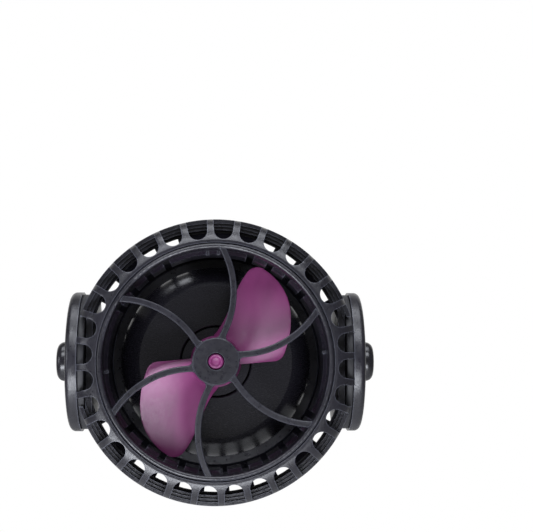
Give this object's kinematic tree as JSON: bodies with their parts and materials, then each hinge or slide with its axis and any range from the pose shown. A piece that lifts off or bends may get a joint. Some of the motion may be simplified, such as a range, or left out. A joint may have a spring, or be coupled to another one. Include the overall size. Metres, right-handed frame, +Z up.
{
  "type": "wave maker pump",
  "caption": "Aquarium circulation pump: round cage with curved-spoke outlet grille, two-bladed propeller and sealed motor, tilting in a yoke on a two-part magnet mount.",
  "frame": {"origin": "centre of the glass face of the wet-side magnet pad", "axes": "+Y through the glass to the dry side, +Z up, the outlet faces -Y"},
  "size_m": [0.115, 0.1665, 0.1002],
  "materials": {
    "satin_plastic": "satin black moulded plastic with fine spark-eroded texture",
    "gloss_plastic": "glossy black moulded plastic",
    "propeller_plastic": "glossy magenta moulded plastic",
    "black_rubber": "matte black rubber",
    "pad_rubber": "soft dark grey rubber",
    "steel": "stainless steel",
    "ceramic_white": "ground ceramic",
    "lamination": "stacked electrical steel",
    "copper": "enamelled copper wire",
    "resin": "cast potting resin",
    "circuit_board": "green solder mask",
    "component": "moulded electronic components",
    "magnet_nickel": "nickel-plated magnet"
  },
  "bodies": {
    "magnet_base": {"inner_magnet_case": "satin_plastic", "inner_magnet": "magnet_nickel", "inner_case_lid": "satin_plastic", "inner_pad": "pad_rubber", "swivel_pin": "steel", "swivel_washer": "black_rubber"},
    "yoke": {"yoke": "satin_plastic", "pivot_pad_left": "pad_rubber", "pivot_pad_right": "pad_rubber"},
    "pump": {"front_cage": "satin_plastic", "throat_ring": "satin_plastic", "intake_cage": "satin_plastic", "cage_screw_ring": "satin_plastic", "motor_housing": "gloss_plastic", "rear_cover": "gloss_plastic", "housing_screws": "steel", "housing_seal": "black_rubber", "cable_gland": "satin_plastic", "gland_grommet": "black_rubber", "stator_core": "lamination", "stator_coils": "copper", "potting": "resin", "driver_board": "circuit_board", "board_components": "component", "ceramic_shaft": "ceramic_white", "shaft_seat": "black_rubber", "thrust_washer": "ceramic_white", "pivot_button_left": "gloss_plastic", "pivot_button_right": "gloss_plastic"},
    "outlet_grille": {"outlet_grille": "satin_plastic"},
    "propeller": {"propeller": "propeller_plastic", "rotor_sleeve": "gloss_plastic", "rotor_magnet": "magnet_nickel", "front_bush": "ceramic_white", "rear_bush": "ceramic_white"},
    "outer_magnet": {"outer_magnet_case": "satin_plastic", "outer_magnet": "magnet_nickel", "outer_case_lid": "satin_plastic", "outer_pad": "pad_rubber"}
  },
  "joints": [
    {"name": "yoke_swivel", "type": "hinge", "parent": "magnet_base", "child": "yoke", "pos_m": [0, -0.035, 0], "axis": [0, 1, 0], "range_deg": [-180, 180]},
    {"name": "pump_tilt", "type": "hinge", "parent": "yoke", "child": "pump", "pos_m": [0, -0.1, 0], "axis": [1, 0, 0], "range_deg": [-40, 40]},
    {"name": "grille_twist", "type": "hinge", "parent": "pump", "child": "outlet_grille", "pos_m": [0, -0.13, 0], "axis": [0, -1, 0], "range_deg": [0, 16]},
    {"name": "propeller_spin", "type": "hinge", "parent": "pump", "child": "propeller", "pos_m": [0, -0.1, 0], "axis": [0, -1, 0], "continuous": true},
    {"name": "outer_magnet_slide", "type": "slide", "parent": "magnet_base", "child": "outer_magnet", "axis": [0, 1, 0], "range_m": [-0.005, 0.04]}
  ]
}
